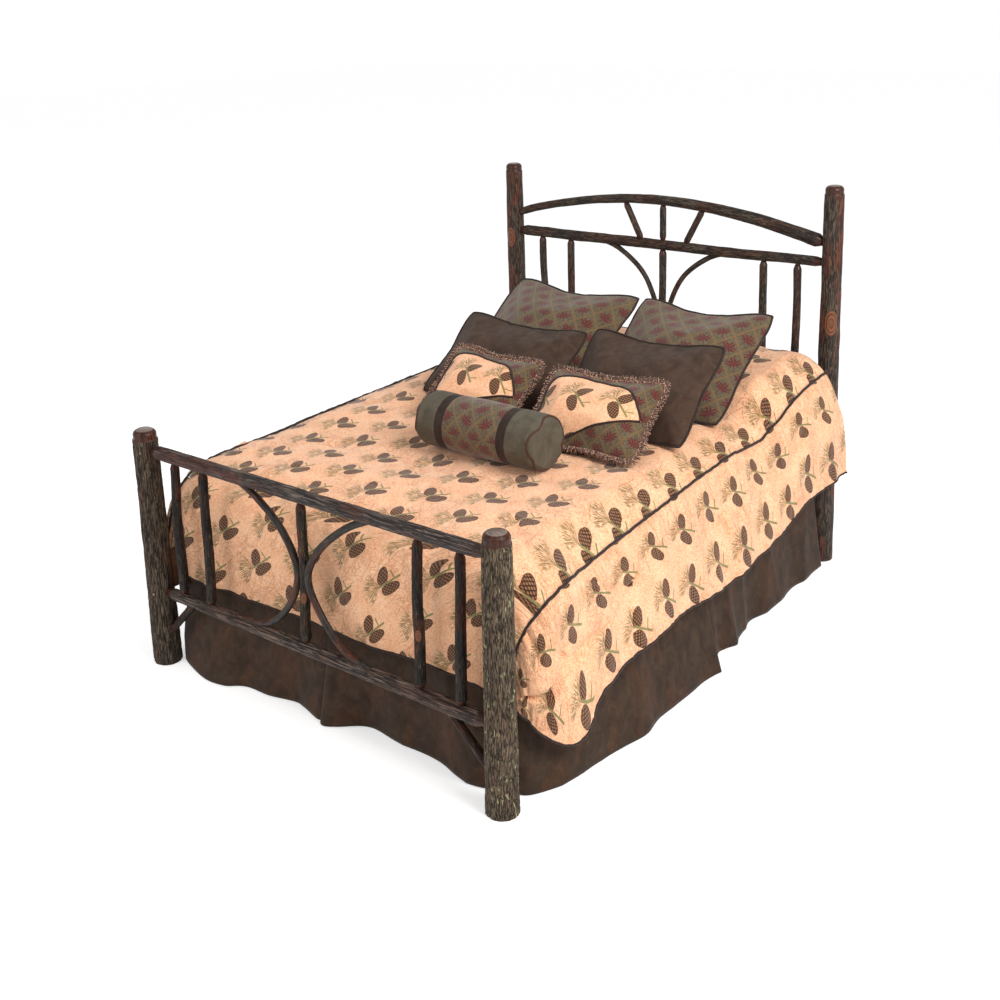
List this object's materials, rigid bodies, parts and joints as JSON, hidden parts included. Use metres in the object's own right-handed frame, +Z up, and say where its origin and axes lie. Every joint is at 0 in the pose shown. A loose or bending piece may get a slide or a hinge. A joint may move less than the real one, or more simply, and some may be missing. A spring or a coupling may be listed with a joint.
{
  "type": "rustic log bed",
  "caption": "Log-framed double bed with bowed pole headboard, footboard with bent hoops, slatted base, and a dressed mattress with skirt, comforter, shams and a round bolster.",
  "frame": {"origin": "middle of the frame's plan, on the floor", "axes": "+X across the bed to the right as seen from the foot, +Y from the foot to the head, +Z up"},
  "size_m": [1.9467, 2.3516, 1.6282],
  "materials": {
    "ridged_bark_log": "furrowed bark under a satin clear coat",
    "smooth_bark_pole": "smooth bark under a satin clear coat",
    "oak_pin": "satin",
    "stained_pine": "matt stain",
    "zinc_steel": "zinc plated",
    "leg_pad": "matt",
    "box_spring_cloth": "matt woven",
    "mattress_ticking": "matt quilted",
    "brown_suede": "brushed suede",
    "pine_cone_chenille": "matt chenille",
    "brush_fringe": "cut threads",
    "leaf_lattice_cloth": "matt jacquard",
    "white_cotton": "matt woven"
  },
  "bodies": {
    "root": {"accent_fringe_left": "brush_fringe", "accent_fringe_right": "brush_fringe", "accent_pillow_left": "pine_cone_chenille", "accent_pillow_right": "pine_cone_chenille", "arch_ray_centre": "smooth_bark_pole", "arch_ray_left": "smooth_bark_pole", "arch_ray_right": "smooth_bark_pole", "bolster": "leaf_lattice_cloth", "box_spring": "box_spring_cloth", "centre_beam": "stained_pine", "centre_legs": "stained_pine", "comforter": "pine_cone_chenille", "euro_sham_left": "leaf_lattice_cloth", "euro_sham_right": "leaf_lattice_cloth", "foot_bottom_rail": "ridged_bark_log", "foot_brace_left": "smooth_bark_pole", "foot_brace_right": "smooth_bark_pole", "foot_hoop_left": "smooth_bark_pole", "foot_hoop_right": "smooth_bark_pole", "foot_post_left": "ridged_bark_log", "foot_post_right": "ridged_bark_log", "foot_spindle_centre": "smooth_bark_pole", "foot_spindle_inner_left": "smooth_bark_pole", "foot_spindle_inner_right": "smooth_bark_pole", "foot_spindle_outer_left": "smooth_bark_pole", "foot_spindle_outer_right": "smooth_bark_pole", "foot_top_rail": "ridged_bark_log", "head_arch_rail": "smooth_bark_pole", "head_branch_left": "smooth_bark_pole", "head_branch_right": "smooth_bark_pole", "head_lower_rail": "ridged_bark_log", "head_middle_rail": "ridged_bark_log", "head_post_left": "ridged_bark_log", "head_post_right": "ridged_bark_log", "head_spindle_centre": "smooth_bark_pole", "head_spindle_inner_left": "smooth_bark_pole", "head_spindle_inner_right": "smooth_bark_pole", "head_spindle_outer_left": "smooth_bark_pole", "head_spindle_outer_right": "smooth_bark_pole", "leg_shoes": "leg_pad", "mattress": "mattress_ticking", "plate_screws": "zinc_steel", "post_slot_plates": "zinc_steel", "rail_tenon_pins": "oak_pin", "side_rail_hook_plates": "zinc_steel", "side_rail_left": "stained_pine", "side_rail_right": "stained_pine", "skirt_deck": "brown_suede", "skirt_foot": "brown_suede", "skirt_left": "brown_suede", "skirt_right": "brown_suede", "slat_cleat_left": "stained_pine", "slat_cleat_right": "stained_pine", "slats": "stained_pine", "sleeping_pillow_left": "white_cotton", "sleeping_pillow_right": "white_cotton", "suede_sham_left": "brown_suede", "suede_sham_right": "brown_suede"}
  },
  "joints": []
}
